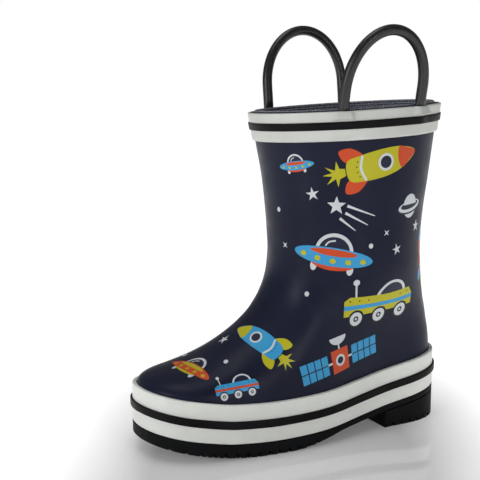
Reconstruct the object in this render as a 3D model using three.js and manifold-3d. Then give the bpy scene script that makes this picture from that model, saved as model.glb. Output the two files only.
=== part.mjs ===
// Child's rubber rain boot with two pull handles, left foot.
// Millimetres, +Z up, toe towards -Y, heel towards +Y, outer (lateral) side towards +X.
// The shape is laid out about the ankle's middle plane; at the end the origin goes on the
// ground, under the middle of the whole boot.

import * as THREE from 'three';
import { mergeVertices } from 'three/addons/utils/BufferGeometryUtils.js';
import Module from 'manifold-3d';

const wasm = await Module();
wasm.setup();

// ---------------------------------------------------------------- driving dimensions

const TOE_Y = -98.2; // front tip of the upper, where it meets the foxing
const HEEL_Y = 90; // rear end of the upper at the foxing
const FOXING_HEIGHT = 22; // white rubber tape around the sole
const FOXING_THICKNESS = 2.3;
const FOXING_STRIPE = { low: 8.7, high: 13.2, thickness: 0.9 };
const COLLAR_HEIGHT = 16.2; // white rubber tape around the mouth
const COLLAR_THICKNESS = 1.3;
const COLLAR_STRIPE = { top: 5.6, bottom: 10, thickness: 0.8 }; // measured down from the rim
const GAP = 0.3; // between neighbouring pieces
const SHELL_THICKNESS = 2.0;
const LINING_THICKNESS = 1.2;
const STIFFENER_THICKNESS = 0.8; // toe puff and heel counter
const BOARD_THICKNESS = 1.8;
const FILLER_THICKNESS = 4.2;
const FOAM_THICKNESS = 3.6;
const CLOTH_THICKNESS = 0.9;
const ARCH_SOLE_THICKNESS = 3.4; // outsole where it doesn't touch the ground
const TOE_SPRING = 9; // lift of the sole at the toe tip
const HEEL_BREAST_Y = 46;
const TREAD = { depth: 2.6, width: 1.6, pitch: 6.2 };
const CORD_RADIUS = 2.95; // handle cord
// Each handle: where its ends leave the collar, straight length, height of the round top
// and outward lean in degrees.
const LATERAL_HANDLE = { frontY: 4.2, rearY: 50.6, legs: 7, arch: 31.5, lean: 12 };
const MEDIAL_HANDLE = { frontY: 3.2, rearY: 55, legs: 11, arch: 32.5, lean: 8 };
const HINGE_ABOVE_RIM = CORD_RADIUS + 0.8;
const SOCKET = { halfWidth: 4.1, slope: 1.3, topHeight: 3.0, bottomHeight: 1.1 };
const TONGUE = { halfWidth: 3.4, length: 15 };

const AROUND = 48; // points around the boot

// ---------------------------------------------------------------- small maths

const clamp = (v, low, high) => Math.min(high, Math.max(low, v));
const mix = (a, b, k) => a + (b - a) * k;

function smoothstep(low, high, v) {
  const k = clamp((v - low) / (high - low), 0, 1);
  return k * k * (3 - 2 * k);
}

// Smooth function through [input, output] pairs in rising order of input.
function through(pairs) {
  const slopes = pairs.map((pair, i) => {
    const before = pairs[Math.max(i - 1, 0)];
    const after = pairs[Math.min(i + 1, pairs.length - 1)];
    return (after[1] - before[1]) / (after[0] - before[0]);
  });
  return (v) => {
    const x = clamp(v, pairs[0][0], pairs[pairs.length - 1][0]);
    let i = 0;
    while (i < pairs.length - 2 && x > pairs[i + 1][0]) {
      i += 1;
    }
    const [x0, y0] = pairs[i];
    const [x1, y1] = pairs[i + 1];
    const step = x1 - x0;
    const k = (x - x0) / step;
    const rise = k * k * (3 - 2 * k);
    const bend = k * (1 - k) * step * ((1 - k) * slopes[i] - k * slopes[i + 1]);
    return mix(y0, y1, rise) + bend;
  };
}

// ---------------------------------------------------------------- form of the upper

// Middle line of the boot seen from the side, as [y, z]: vamp and front of the shaft.
const FRONT_LINE = [
  [TOE_Y, 37.2], [-95.4, 40.6], [-87, 43.8], [-72, 47], [-58, 52.2], [-45, 59.5],
  [-33, 68.6], [-24.5, 77.6], [-19, 88], [-16.2, 99], [-15.6, 112], [-16.9, 130],
  [-19.3, 150], [-22.8, 168], [-26.3, 186],
];
// The same line at the back, from the foxing up to the rim.
const BACK_LINE = [
  [HEEL_Y, 42.2], [88.8, 54], [85.6, 68], [81.8, 83], [78.9, 97], [77.9, 112],
  [79.1, 130], [81.8, 150], [84, 168], [87.3, 192.4],
];
const frontCurve = new THREE.SplineCurve(FRONT_LINE.map(([y, z]) => new THREE.Vector2(y, z)));
const backCurve = new THREE.SplineCurve(BACK_LINE.map(([y, z]) => new THREE.Vector2(y, z)));
frontCurve.arcLengthDivisions = 400;
backCurve.arcLengthDivisions = 400;

const frontPoints = frontCurve.getPoints(420);
const frontY = through(frontPoints.map((p) => [p.y, p.x]));
const backY = through(backCurve.getPoints(280).map((p) => [p.y, p.x]));
// Height of the vamp over the foot, carried on steeply under the shaft.
const vampPoints = frontPoints.filter((p) => p.x < -24 && p.y < 90).map((p) => [p.x, p.y]);
const crestZ = through([...vampPoints, [-14, 100], [0, 150], [90, 300]]);

// Underside of the foxing and upper: toe spring, ball, arch and heel.
const soleZ = through([
  [-101, 15.8], [-85, 12.8], [-70, 10.6], [-55, 8.6], [-25, 7.7], [10, 9.3], [46, 14], [91, 20.3],
]);
const foxingTopZ = (y) => soleZ(y) + FOXING_HEIGHT;

// Half widths of the footprint: the ellipse that would fit at each place along the foot,
// from toe (0) to heel (1).
const lateralFit = through([
  [0, 54], [0.11, 46.5], [0.24, 40], [0.37, 36.8], [0.53, 33.6], [0.66, 29.3], [0.79, 29.2], [0.9, 36], [1, 45],
]);
const medialFit = through([
  [0, 54], [0.11, 48.5], [0.24, 40], [0.37, 33], [0.53, 26.8], [0.66, 26], [0.79, 29.6], [0.9, 36.6], [1, 45],
]);
const legHalfWidth = through([
  [30, 33], [60, 35], [80, 38], [95, 40.2], [110, 41.1], [130, 42.2], [150, 44], [168, 45.9], [190, 47.6],
]);

function footprintHalfWidth(y, lateral) {
  const along = clamp((y - TOE_Y) / (HEEL_Y - TOE_Y), 0, 1);
  const fit = lateral ? lateralFit(along) : medialFit(along);
  return fit * Math.sqrt(4 * along * (1 - along));
}

// Half width of the upper at any place of its side view: the foot narrows towards the
// vamp's crest, the leg is an ellipse at every height, and the ankle mixes the two.
function upperHalfWidth(y, z, lateral) {
  const front = frontY(z);
  const back = backY(z);
  const along = clamp((y - front) / (back - front), 0, 1);
  const leg = legHalfWidth(z) * Math.sqrt(4 * along * (1 - along));
  const footprintY = y + (HEEL_Y - back) * smoothstep(0, back, y);
  const base = foxingTopZ(y);
  const rise = clamp((z - base) / Math.max(crestZ(y) - base, 0.5), 0, 1);
  const foot = footprintHalfWidth(footprintY, lateral) * Math.pow(1 - Math.pow(rise, 2.1), 0.5);
  return mix(foot, leg, smoothstep(36, 104, z));
}

// Outer face of the upper. The angle runs round the boot from the toe (0) over the
// lateral side; level is 0 at the foxing's top, 1 at the rim and -1 at the lower edge.
function upperPoint(angle, level) {
  const up = Math.max(level, 0);
  const front = frontCurve.getPointAt(up);
  const back = backCurve.getPointAt(up);
  const share = (1 - Math.cos(angle)) / 2;
  const y = mix(front.x, back.x, share);
  const straight = mix(front.y, back.y, share);
  const soleCurve = foxingTopZ(mix(TOE_Y, HEEL_Y, share));
  const sag = soleCurve - mix(foxingTopZ(TOE_Y), foxingTopZ(HEEL_Y), share);
  const z = straight + sag * Math.pow(1 - up, 3);
  const lateral = Math.sin(angle) >= 0;
  const halfWidth = upperHalfWidth(y, z, lateral);
  const x = lateral ? halfWidth : -halfWidth;
  return new THREE.Vector3(x, y, z + Math.min(level, 0) * FOXING_HEIGHT);
}

// Direction along the upper at one level, from just before an angle to just after it.
function aroundAt(angle, level) {
  const step = 0.05;
  return upperPoint(angle + step, level).sub(upperPoint(angle - step, level));
}

function upperNormal(angle, level) {
  const step = 0.03;
  const low = Math.max(level - step, -1);
  const high = Math.min(level + step, 1);
  const around = aroundAt(angle, level);
  const upward = upperPoint(angle, high).sub(upperPoint(angle, low));
  return around.cross(upward).normalize();
}

// A point of the upper moved out (positive) or in (negative) along its normal.
function offsetPoint(angle, level, distance) {
  return upperPoint(angle, level).addScaledVector(upperNormal(angle, level), distance);
}

// The foot's outline in plan, moved out or in, at a height above the foxing's underside.
function outlinePoint(angle, distance, height) {
  const here = upperPoint(angle, 0);
  const around = aroundAt(angle, 0);
  const out = new THREE.Vector3(around.y, -around.x, 0).normalize();
  here.addScaledVector(out, distance);
  here.z = soleZ(here.y) + height;
  return here;
}

const SHAFT_LENGTH = frontCurve.getLength();

// A point on the collar: a distance down from the rim, moved out from the upper's face.
function collarPoint(angle, down, distance) {
  const share = (1 - Math.cos(angle)) / 2;
  const length = mix(SHAFT_LENGTH, backCurve.getLength(), share);
  const level = 1 - Math.max(down, 0) / length;
  const here = upperPoint(angle, level);
  const around = aroundAt(angle, level);
  const out = new THREE.Vector3(around.y, -around.x, 0).normalize();
  here.addScaledVector(out, distance);
  here.z -= Math.min(down, 0);
  return here;
}

// ---------------------------------------------------------------- solids from grids

function solidGeometry(positions, triangles) {
  const geometry = new THREE.BufferGeometry();
  const flat = positions.flatMap((p) => [p.x, p.y, p.z]);
  geometry.setAttribute('position', new THREE.Float32BufferAttribute(flat, 3));
  geometry.setIndex(triangles);
  return mergeVertices(geometry, 1e-4);
}

// A closed solid between an outer and an inner face, both given as functions of (u, v).
// With wrap the u direction closes on itself; without it the ends are walled.
function sheetSolid(uValues, vValues, outer, inner, wrap) {
  const columns = uValues.length;
  const rows = vValues.length;
  const positions = [];
  for (const face of [outer, inner]) {
    for (const u of uValues) {
      for (const v of vValues) {
        positions.push(face(u, v));
      }
    }
  }
  const at = (face, i, j) => (face * columns + (i % columns)) * rows + j;
  const triangles = [];
  const quad = (a, b, c, d) => triangles.push(a, b, c, a, c, d);
  const spans = wrap ? columns : columns - 1;
  for (let i = 0; i < spans; i += 1) {
    for (let j = 0; j < rows - 1; j += 1) {
      quad(at(0, i, j), at(0, i + 1, j), at(0, i + 1, j + 1), at(0, i, j + 1));
      quad(at(1, i, j), at(1, i, j + 1), at(1, i + 1, j + 1), at(1, i + 1, j));
    }
    quad(at(0, i, 0), at(1, i, 0), at(1, i + 1, 0), at(0, i + 1, 0));
    const top = rows - 1;
    quad(at(0, i, top), at(0, i + 1, top), at(1, i + 1, top), at(1, i, top));
  }
  if (!wrap) {
    const last = columns - 1;
    for (let j = 0; j < rows - 1; j += 1) {
      quad(at(0, 0, j), at(0, 0, j + 1), at(1, 0, j + 1), at(1, 0, j));
      quad(at(0, last, j), at(1, last, j), at(1, last, j + 1), at(0, last, j + 1));
    }
  }
  return solidGeometry(positions, triangles);
}

// A closed slab from toe to heel: lateral and medial edges joined straight across.
function slabSolid(angles, edge, lowZ, highZ) {
  const positions = [];
  for (const angle of angles) {
    for (const side of [angle, -angle]) {
      const p = edge(side);
      positions.push(new THREE.Vector3(p.x, p.y, lowZ(p.y)));
      positions.push(new THREE.Vector3(p.x, p.y, highZ(p.y)));
    }
  }
  const triangles = [];
  const quad = (a, b, c, d) => triangles.push(a, b, c, a, c, d);
  for (let i = 0; i < angles.length - 1; i += 1) {
    const a = 4 * i;
    const b = a + 4;
    quad(a + 1, b + 1, b + 3, a + 3);
    quad(a, a + 2, b + 2, b);
    quad(a, b, b + 1, a + 1);
    quad(a + 2, a + 3, b + 3, b + 2);
  }
  const last = 4 * (angles.length - 1);
  quad(0, 1, 3, 2);
  quad(last, last + 2, last + 3, last + 1);
  return solidGeometry(positions, withoutSlivers(positions, triangles).flat());
}

// Leaves out triangles that have two corners in one place.
function withoutSlivers(positions, triangles) {
  const kept = [];
  for (let i = 0; i < triangles.length; i += 3) {
    const [a, b, c] = triangles.slice(i, i + 3).map((index) => positions[index]);
    const shortest = Math.min(a.distanceTo(b), b.distanceTo(c), c.distanceTo(a));
    if (shortest > 1e-4) {
      kept.push(triangles.slice(i, i + 3));
    }
  }
  return kept;
}

function range(from, to, steps) {
  return Array.from({ length: steps + 1 }, (_, i) => mix(from, to, i / steps));
}

const roundTheBoot = range(0, 2 * Math.PI, AROUND).slice(0, AROUND);

// ---------------------------------------------------------------- cutting

function toManifold(geometry) {
  const bare = geometry.clone();
  bare.deleteAttribute('normal');
  bare.deleteAttribute('uv');
  const merged = mergeVertices(bare, 1e-4);
  return new wasm.Manifold(new wasm.Mesh({
    numProp: 3,
    vertProperties: new Float32Array(merged.attributes.position.array),
    triVerts: new Uint32Array(merged.index.array),
  }));
}

function fromManifold(solid) {
  const mesh = solid.getMesh();
  const geometry = new THREE.BufferGeometry();
  geometry.setAttribute('position', new THREE.Float32BufferAttribute(mesh.vertProperties, 3));
  geometry.setIndex(Array.from(mesh.triVerts));
  return geometry;
}

function subtract(geometry, cutters) {
  let solid = toManifold(geometry);
  for (const cutter of cutters) {
    solid = solid.subtract(toManifold(cutter));
  }
  return fromManifold(solid);
}

// ---------------------------------------------------------------- materials and nodes

const boot = new THREE.Group();
boot.name = 'rain_boot';

function rubber(color, roughness) {
  return new THREE.MeshStandardMaterial({ color, roughness, metalness: 0 });
}

const materials = {
  navy: rubber(0x1d2036, 0.42),
  white: rubber(0xdfe1dd, 0.5),
  black: rubber(0x1b1b1c, 0.5),
  knit: rubber(0x55596b, 0.95),
  stiffener: rubber(0xb9ad97, 0.9),
  board: rubber(0xa98f6b, 0.9),
  sponge: rubber(0x6b6b6e, 0.9),
  foam: rubber(0xe6dfc8, 0.9),
  cloth: rubber(0x3c4052, 0.95),
};

function addPart(name, geometry, material) {
  geometry.computeVertexNormals();
  const mesh = new THREE.Mesh(geometry, material);
  mesh.name = name;
  boot.add(mesh);
}

// ---------------------------------------------------------------- upper and its layers

// The layers share their levels and angles, so their facets stay parallel.
const LINING_FOOT = (GAP * 2 + BOARD_THICKNESS) / FOXING_HEIGHT - 1;
const lowLevels = [LINING_FOOT, -0.45];
const footLevels = range(0, 0.52, 14);
const legLevels = range(0.56, 1, 8);
const turnStep = (2 * Math.PI) / AROUND;

function addUpperShell() {
  const levels = [-0.98, ...lowLevels, ...footLevels, ...legLevels];
  const outer = (angle, level) => offsetPoint(angle, level, 0);
  const inner = (angle, level) => offsetPoint(angle, level, -SHELL_THICKNESS);
  addPart('upper_shell', sheetSolid(roundTheBoot, levels, outer, inner, true), materials.navy);
}

// The stiffeners fill part of the turn round the boot and the levels up to their edge.
const TOE_PUFF = { middle: 0, steps: 8, levels: footLevels.slice(0, 6) };
const HEEL_COUNTER = { middle: Math.PI, steps: 7, levels: footLevels.slice(0, 8) };

// True where a stiffener, or its sloped edge, pushes the lining in.
function nearStiffener(angle, level) {
  return [TOE_PUFF, HEEL_COUNTER].some((part) => {
    const turn = Math.abs(Math.atan2(Math.sin(angle - part.middle), Math.cos(angle - part.middle)));
    const edge = part.levels[part.levels.length - 1];
    return turn < (part.steps + 1.5) * turnStep && level < edge + 0.06;
  });
}

function liningDepth(angle, level) {
  const room = nearStiffener(angle, level) ? STIFFENER_THICKNESS + GAP : 0;
  return SHELL_THICKNESS + GAP + room;
}

function addLining() {
  const levels = [...lowLevels, ...footLevels, ...legLevels];
  const outer = (angle, level) => offsetPoint(angle, level, -liningDepth(angle, level));
  const inner = (angle, level) => {
    return offsetPoint(angle, level, -liningDepth(angle, level) - LINING_THICKNESS);
  };
  addPart('lining', sheetSolid(roundTheBoot, levels, outer, inner, true), materials.knit);
}

function addStiffener(name, part) {
  const near = -SHELL_THICKNESS - GAP;
  const outer = (angle, level) => offsetPoint(angle, level, near);
  const inner = (angle, level) => offsetPoint(angle, level, near - STIFFENER_THICKNESS);
  const reach = part.steps * turnStep;
  const angles = range(part.middle - reach, part.middle + reach, part.steps * 2);
  const solid = sheetSolid(angles, [...lowLevels, ...part.levels], outer, inner, false);
  addPart(name, solid, materials.stiffener);
}

// ---------------------------------------------------------------- sole layers inside

const halfTurn = range(0, Math.PI, AROUND / 2);

function addInnerPlate(name, inset, low, thickness, material) {
  const edge = (angle) => outlinePoint(angle, -inset, 0);
  const lowZ = (y) => soleZ(y) + low;
  const highZ = (y) => soleZ(y) + low + thickness;
  addPart(name, slabSolid(halfTurn, edge, lowZ, highZ), material);
}

function addInnerSole() {
  const insideShell = SHELL_THICKNESS + GAP;
  const insideLining = insideShell + STIFFENER_THICKNESS + GAP + LINING_THICKNESS + GAP + 0.4;
  let low = GAP;
  addInnerPlate('insole_board', insideShell, low, BOARD_THICKNESS, materials.board);
  low += BOARD_THICKNESS + GAP;
  addInnerPlate('midsole_filler', insideLining, low, FILLER_THICKNESS, materials.sponge);
  low += FILLER_THICKNESS + GAP;
  addInnerPlate('footbed_foam', insideLining + 0.3, low, FOAM_THICKNESS, materials.foam);
  low += FOAM_THICKNESS + GAP;
  addInnerPlate('footbed_cloth', insideLining + 0.5, low, CLOTH_THICKNESS, materials.cloth);
}

// ---------------------------------------------------------------- outsole and heel

const soleEdge = (angle) => outlinePoint(angle, GAP + FOXING_THICKNESS, 0);

// Ground line of the forepart: flat under the ball, lifted at the toe, thin at the arch.
function treadZ(y) {
  const toe = TOE_SPRING * Math.pow(clamp((-42 - y) / 59, 0, 1.1), 1.6);
  const arch = soleZ(y) - GAP - ARCH_SOLE_THICKNESS;
  return mix(toe, arch, smoothstep(-22, 16, y));
}

function grooves(from, to) {
  const cutters = [];
  for (let y = from; y <= to; y += TREAD.pitch) {
    for (const side of [-1, 1]) {
      const cutter = new THREE.BoxGeometry(24, TREAD.width, TREAD.depth * 2);
      cutter.rotateZ(side * 0.24);
      cutter.translate(side * 32, y, treadZ(y) * (y < HEEL_BREAST_Y ? 1 : 0));
      cutters.push(cutter);
    }
  }
  return cutters;
}

function addOutsole() {
  const highZ = (y) => soleZ(y) - GAP;
  const sole = slabSolid(range(0, Math.PI, 40), soleEdge, treadZ, highZ);
  addPart('outsole', subtract(sole, grooves(-88, -6)), materials.black);
}

function addHeelBlock() {
  const highZ = (y) => soleZ(y) - GAP * 2 - ARCH_SOLE_THICKNESS;
  const whole = slabSolid(range(1.6, Math.PI, 24), soleEdge, () => 0, highZ);
  const front = new THREE.BoxGeometry(120, 80, 60);
  front.translate(0, HEEL_BREAST_Y - 40, 10);
  const cutters = [front, ...grooves(HEEL_BREAST_Y + 7, 86)];
  addPart('heel_block', subtract(whole, cutters), materials.black);
}

// ---------------------------------------------------------------- foxing

function addFoxing() {
  const near = GAP;
  const far = GAP + FOXING_THICKNESS;
  // The upper edge is chamfered, so the outer face stops a little lower than the inner one.
  const heights = [0, FOXING_HEIGHT - 1.2, FOXING_HEIGHT];
  const outer = (angle, height) => {
    const depth = height > FOXING_HEIGHT - 0.6 ? far - 1.1 : far;
    return outlinePoint(angle, depth, height);
  };
  const inner = (angle, height) => outlinePoint(angle, near, height);
  addPart('foxing_tape', sheetSolid(roundTheBoot, heights, outer, inner, true), materials.white);

  const face = far + GAP;
  const band = [FOXING_STRIPE.low, FOXING_STRIPE.high];
  const stripeOuter = (angle, height) => outlinePoint(angle, face + FOXING_STRIPE.thickness, height);
  const stripeInner = (angle, height) => outlinePoint(angle, face, height);
  const stripe = sheetSolid(roundTheBoot, band, stripeOuter, stripeInner, true);
  addPart('foxing_stripe', stripe, materials.black);
}

// ---------------------------------------------------------------- collar and handles

// Angle at which the rim reaches a given y on the lateral side.
function rimAngle(y) {
  const front = FRONT_LINE[FRONT_LINE.length - 1][0];
  const back = BACK_LINE[BACK_LINE.length - 1][0];
  return Math.acos(1 - 2 * (y - front) / (back - front));
}

const roots = [
  { name: 'handle_root_lateral_front', angle: rimAngle(LATERAL_HANDLE.frontY) },
  { name: 'handle_root_lateral_rear', angle: rimAngle(LATERAL_HANDLE.rearY) },
  { name: 'handle_root_medial_front', angle: 2 * Math.PI - rimAngle(MEDIAL_HANDLE.frontY) },
  { name: 'handle_root_medial_rear', angle: 2 * Math.PI - rimAngle(MEDIAL_HANDLE.rearY) },
];

const MEAN_RIM_RADIUS = 52;

// Height of the bump that the collar makes over a handle root.
function socketHeight(angle, down) {
  const fade = mix(SOCKET.topHeight, SOCKET.bottomHeight, smoothstep(0, COLLAR_HEIGHT, down));
  let height = 0;
  for (const root of roots) {
    const away = Math.abs(angle - root.angle) * MEAN_RIM_RADIUS;
    const share = clamp((SOCKET.halfWidth + SOCKET.slope - away) / SOCKET.slope, 0, 1);
    height = Math.max(height, share * fade);
  }
  return height;
}

// Even steps round the rim, with extra ones at the edges of each socket.
function collarAngles() {
  const angles = [...roundTheBoot];
  for (const root of roots) {
    for (const away of [-SOCKET.halfWidth - SOCKET.slope, -SOCKET.halfWidth, SOCKET.halfWidth,
      SOCKET.halfWidth + SOCKET.slope]) {
      angles.push(root.angle + away / MEAN_RIM_RADIUS);
    }
  }
  const sorted = angles.sort((a, b) => a - b);
  return sorted.filter((angle, i) => i === 0 || angle - sorted[i - 1] > 0.004);
}

function addCollar() {
  const angles = collarAngles();
  const near = GAP;
  const far = GAP + COLLAR_THICKNESS;
  const downs = [COLLAR_HEIGHT, COLLAR_STRIPE.bottom, COLLAR_STRIPE.top, 0];
  const outer = (angle, down) => collarPoint(angle, down, far + socketHeight(angle, down));
  const inner = (angle, down) => collarPoint(angle, down, near + socketHeight(angle, down));
  addPart('collar_tape', sheetSolid(angles, downs, outer, inner, true), materials.white);

  const face = far + GAP;
  const proud = face + COLLAR_STRIPE.thickness;
  const band = [COLLAR_STRIPE.bottom, COLLAR_STRIPE.top];
  const stripeOuter = (angle, down) => collarPoint(angle, down, proud + socketHeight(angle, down));
  const stripeInner = (angle, down) => collarPoint(angle, down, face + socketHeight(angle, down));
  const stripe = sheetSolid(angles, band, stripeOuter, stripeInner, true);
  addPart('collar_stripe', stripe, materials.black);
}

// Flattened cord end that is bonded between the shell and the collar tape.
function addHandleRoots() {
  for (const root of roots) {
    const reach = TONGUE.halfWidth / MEAN_RIM_RADIUS;
    const downs = range(TONGUE.length, 0, 4);
    const outer = (angle, down) => {
      const room = mix(SOCKET.topHeight, SOCKET.bottomHeight, smoothstep(0, COLLAR_HEIGHT, down));
      return collarPoint(angle, down, room);
    };
    const inner = (angle, down) => collarPoint(angle, down, GAP);
    const angles = range(root.angle - reach, root.angle + reach, 4);
    addPart(root.name, sheetSolid(angles, downs, outer, inner, false), materials.black);
  }
}

// Hinge point over a root: on the middle of the tongue, just above the rim.
function hingePoint(root) {
  const rim = collarPoint(root.angle, 0, (GAP + SOCKET.topHeight) / 2 + 0.2);
  return new THREE.Vector3(rim.x, rim.y, rim.z + HINGE_ABOVE_RIM);
}

// Route of a handle cord: short straight legs and a round top, in a plane that leans out.
function handleCurve(front, rear, outward, handle) {
  const middle = front.clone().add(rear).multiplyScalar(0.5);
  const halfSpan = front.distanceTo(rear) / 2;
  const lean = THREE.MathUtils.degToRad(handle.lean);
  const along = rear.clone().sub(front).normalize();
  const up = new THREE.Vector3(outward * Math.sin(lean), 0, Math.cos(lean));
  const at = (side, height) => {
    return middle.clone().addScaledVector(along, side * halfSpan).addScaledVector(up, height);
  };
  const points = [at(-1, 0), at(-1, handle.legs / 2)];
  for (const turn of range(Math.PI, 0, 12)) {
    points.push(at(Math.cos(turn), handle.legs + Math.sin(turn) * handle.arch));
  }
  points.push(at(1, handle.legs / 2), at(1, 0));
  return new THREE.CatmullRomCurve3(points, false, 'centripetal');
}

function addHandle(name, front, rear, outward, handle) {
  const section = new THREE.Shape();
  section.absarc(0, 0, CORD_RADIUS, 0, 2 * Math.PI, false);
  const path = handleCurve(front, rear, outward, handle);
  const options = { steps: 30, curveSegments: 6, bevelEnabled: false, extrudePath: path };
  let solid = toManifold(new THREE.ExtrudeGeometry(section, options));
  for (const end of [front, rear]) {
    const ball = new THREE.SphereGeometry(CORD_RADIUS, 12, 8);
    ball.translate(end.x, end.y, end.z);
    solid = solid.add(toManifold(ball));
  }
  addPart(name, fromManifold(solid), materials.black);
}

function addHandles() {
  const [lateralFront, lateralRear, medialFront, medialRear] = roots.map(hingePoint);
  addHandle('handle_lateral_loop', lateralFront, lateralRear, 1, LATERAL_HANDLE);
  addHandle('handle_medial_loop', medialFront, medialRear, -1, MEDIAL_HANDLE);
}

// ---------------------------------------------------------------- assembly

addUpperShell();
addLining();
addStiffener('toe_puff', TOE_PUFF);
addStiffener('heel_counter', HEEL_COUNTER);
addInnerSole();
addOutsole();
addHeelBlock();
addFoxing();
addCollar();
addHandleRoots();
addHandles();

// The origin goes on the ground, under the middle of the whole boot.
const bounds = new THREE.Box3().setFromObject(boot);
const middle = bounds.getCenter(new THREE.Vector3());
for (const part of boot.children) {
  part.position.set(-middle.x, -middle.y, -bounds.min.z);
}

export default boot;
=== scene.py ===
"""Looks of a child's rubber rain boot with two pull handles, left foot.

The form is laid out in millimetres, as in the CAD source: +Z up, toe towards -Y, the outer
(lateral) side towards +X. placed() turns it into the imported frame, in metres.
"""

import math

import bmesh
import bpy
import numpy as np
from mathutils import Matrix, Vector
from mathutils.bvhtree import BVHTree
from mathutils.geometry import delaunay_2d_cdt


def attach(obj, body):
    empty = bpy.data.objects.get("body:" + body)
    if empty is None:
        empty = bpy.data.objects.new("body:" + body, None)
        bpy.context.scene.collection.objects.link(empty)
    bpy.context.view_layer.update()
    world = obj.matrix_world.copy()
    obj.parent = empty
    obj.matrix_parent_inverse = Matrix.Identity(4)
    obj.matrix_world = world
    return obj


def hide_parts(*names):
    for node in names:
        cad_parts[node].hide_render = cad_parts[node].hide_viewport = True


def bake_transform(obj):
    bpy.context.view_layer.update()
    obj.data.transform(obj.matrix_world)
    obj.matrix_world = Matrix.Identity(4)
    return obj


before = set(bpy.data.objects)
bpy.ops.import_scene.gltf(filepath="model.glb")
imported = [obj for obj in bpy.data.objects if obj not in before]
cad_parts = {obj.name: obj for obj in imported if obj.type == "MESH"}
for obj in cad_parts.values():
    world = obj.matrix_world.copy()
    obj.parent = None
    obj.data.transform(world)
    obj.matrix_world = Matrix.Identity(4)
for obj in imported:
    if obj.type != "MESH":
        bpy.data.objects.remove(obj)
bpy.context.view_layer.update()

# ---- driving dimensions, mm

MM = 0.001
FRAME_SHIFT = np.array([-1.4986, 4.1, 0.0])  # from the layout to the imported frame
TOE_Y = -98.2
HEEL_Y = 90.0
FOXING_HEIGHT = 22.0
FOXING_THICKNESS = 2.3
STRIPE_LOW, STRIPE_HIGH, STRIPE_THICKNESS = 8.7, 13.2, 0.9
COLLAR_HEIGHT = 16.2
COLLAR_THICKNESS = 1.3
COLLAR_STRIPE_TOP, COLLAR_STRIPE_BOTTOM = 5.6, 10.0  # down from the rim
GAP = 0.3
SHELL_THICKNESS = 2.0
LINING_THICKNESS = 1.2
STIFFENER_THICKNESS = 0.8
ARCH_SOLE_THICKNESS = 3.4
TOE_SPRING = 9.0
HEEL_BREAST_Y = 46.0
CORD_RADIUS = 2.95
MEAN_RIM_RADIUS = 52.0
HINGE_ABOVE_RIM = CORD_RADIUS + 0.8
SOCKET_TOP = 3.0  # how far the collar stands off over a handle end
LATERAL_HANDLE = {"front": 4.2, "rear": 50.6, "legs": 7.0, "arch": 31.5, "lean": 12.0}
MEDIAL_HANDLE = {"front": 3.2, "rear": 55.0, "legs": 11.0, "arch": 32.5, "lean": 8.0}


# ---- small maths

def smoothstep(low, high, v):
    k = np.clip((v - low) / (high - low), 0, 1)
    return k * k * (3 - 2 * k)


def mix(a, b, k):
    return a + (b - a) * k


def through(pairs):
    """Smooth function through [input, output] pairs in rising order of input."""
    xs, ys = np.array(pairs, float).T
    index = np.arange(len(xs))
    before = np.maximum(index - 1, 0)
    after = np.minimum(index + 1, len(xs) - 1)
    slopes = (ys[after] - ys[before]) / (xs[after] - xs[before])

    def at(v):
        x = np.clip(v, xs[0], xs[-1])
        i = np.clip(np.searchsorted(xs, x) - 1, 0, len(xs) - 2)
        step = xs[i + 1] - xs[i]
        k = (x - xs[i]) / step
        bend = k * (1 - k) * step * ((1 - k) * slopes[i] - k * slopes[i + 1])
        return mix(ys[i], ys[i + 1], k * k * (3 - 2 * k)) + bend

    return at


def catmull_rom(p0, p1, p2, p3, t):
    """The stretch from p1 to p2, at shares t of it."""
    v0, v1 = (p2 - p0) / 2, (p3 - p1) / 2
    cubic, square = 2 * p1 - 2 * p2 + v0 + v1, -3 * p1 + 3 * p2 - 2 * v0 - v1
    return ((cubic * t + square) * t + v0) * t + p1


class Spline:
    """Catmull-Rom curve through plane points, measured by its length."""

    def __init__(self, points, steps=60):
        pts = np.array(points, float)
        last = len(pts) - 1
        t = np.linspace(0, 1, steps, endpoint=False)[:, None]
        parts = []
        for i in range(last):
            ends = pts[max(i - 1, 0)], pts[i], pts[i + 1], pts[min(i + 2, last)]
            parts.append(catmull_rom(*ends, t))
        self.points = np.vstack([*parts, pts[-1:]])
        steps_long = np.linalg.norm(np.diff(self.points, axis=0), axis=1)
        self.along = np.concatenate([[0], np.cumsum(steps_long)])
        self.length = self.along[-1]

    def at(self, share):
        s = np.clip(share, 0, 1) * self.length
        return tuple(np.interp(s, self.along, column) for column in self.points.T)


# ---- form of the upper

FRONT_LINE = [
    [TOE_Y, 37.2], [-95.4, 40.6], [-87, 43.8], [-72, 47], [-58, 52.2], [-45, 59.5],
    [-33, 68.6], [-24.5, 77.6], [-19, 88], [-16.2, 99], [-15.6, 112], [-16.9, 130],
    [-19.3, 150], [-22.8, 168], [-26.3, 186],
]
BACK_LINE = [
    [HEEL_Y, 42.2], [88.8, 54], [85.6, 68], [81.8, 83], [78.9, 97], [77.9, 112],
    [79.1, 130], [81.8, 150], [84, 168], [87.3, 192.4],
]
front_curve = Spline(FRONT_LINE)
back_curve = Spline(BACK_LINE)


def front_y(z):
    return np.interp(z, front_curve.points[:, 1], front_curve.points[:, 0])


def back_y(z):
    return np.interp(z, back_curve.points[:, 1], back_curve.points[:, 0])


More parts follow.
